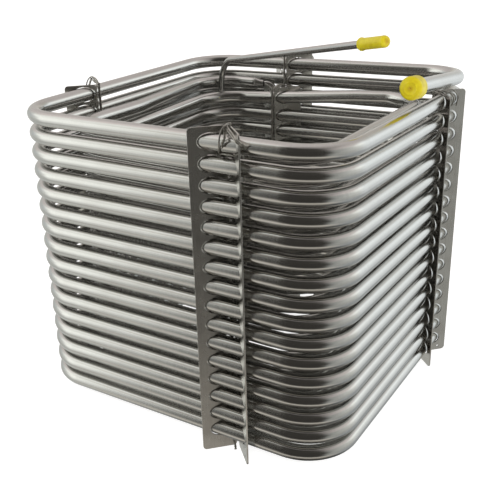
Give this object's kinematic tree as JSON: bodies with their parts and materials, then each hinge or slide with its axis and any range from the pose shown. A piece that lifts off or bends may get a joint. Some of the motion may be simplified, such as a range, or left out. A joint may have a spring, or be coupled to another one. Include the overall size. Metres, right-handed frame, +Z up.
{
  "type": "immersion wort chiller",
  "caption": "Square double coil of stainless tube that chills hot wort as cold water runs through it, held by perforated strips and tie wire, with a thin riser and push-on end caps.",
  "frame": {"origin": "centre of the square footprint, on the plane the strips stand on", "axes": "+Z up; -Y is the front side, +X the right side, where the outer coil's capped end is"},
  "size_m": [0.3188, 0.3188, 0.326],
  "materials": {
    "stainless_tube": "bright drawn tube with fine polishing lines round it",
    "stainless_sheet": "satin rolled sheet",
    "stainless_wire": "dull soft wire",
    "yellow_vinyl": "soft dipped vinyl, satin"
  },
  "bodies": {
    "root": {"inlet_reducer": "stainless_tube", "inner_coil": "stainless_tube", "inner_strip_back_a": "stainless_sheet", "inner_strip_back_b": "stainless_sheet", "inner_strip_front_a": "stainless_sheet", "inner_strip_front_b": "stainless_sheet", "inner_tie_wire_back": "stainless_wire", "inner_tie_wire_front": "stainless_wire", "outer_coil": "stainless_tube", "outer_strip_back_a": "stainless_sheet", "outer_strip_back_b": "stainless_sheet", "outer_strip_front_a": "stainless_sheet", "outer_strip_front_b": "stainless_sheet", "outer_strip_left_a": "stainless_sheet", "outer_strip_left_b": "stainless_sheet", "outer_strip_right_a": "stainless_sheet", "outer_strip_right_b": "stainless_sheet", "outer_tie_wire_back": "stainless_wire", "outer_tie_wire_front": "stainless_wire", "outer_tie_wire_left": "stainless_wire", "outer_tie_wire_right": "stainless_wire", "return_bend": "stainless_tube", "riser_tube": "stainless_tube"},
    "outlet_cap": {"outlet_cap": "yellow_vinyl"},
    "inlet_cap": {"inlet_cap": "yellow_vinyl"}
  },
  "joints": [
    {"name": "outlet_cap_pull", "type": "slide", "parent": "root", "child": "outlet_cap", "axis": [0, -0.9957, 0.0927], "range_m": [0, 0.03]},
    {"name": "inlet_cap_pull", "type": "slide", "parent": "root", "child": "inlet_cap", "axis": [0.8438, -0.5083, 0.1722], "range_m": [0, 0.045]}
  ]
}
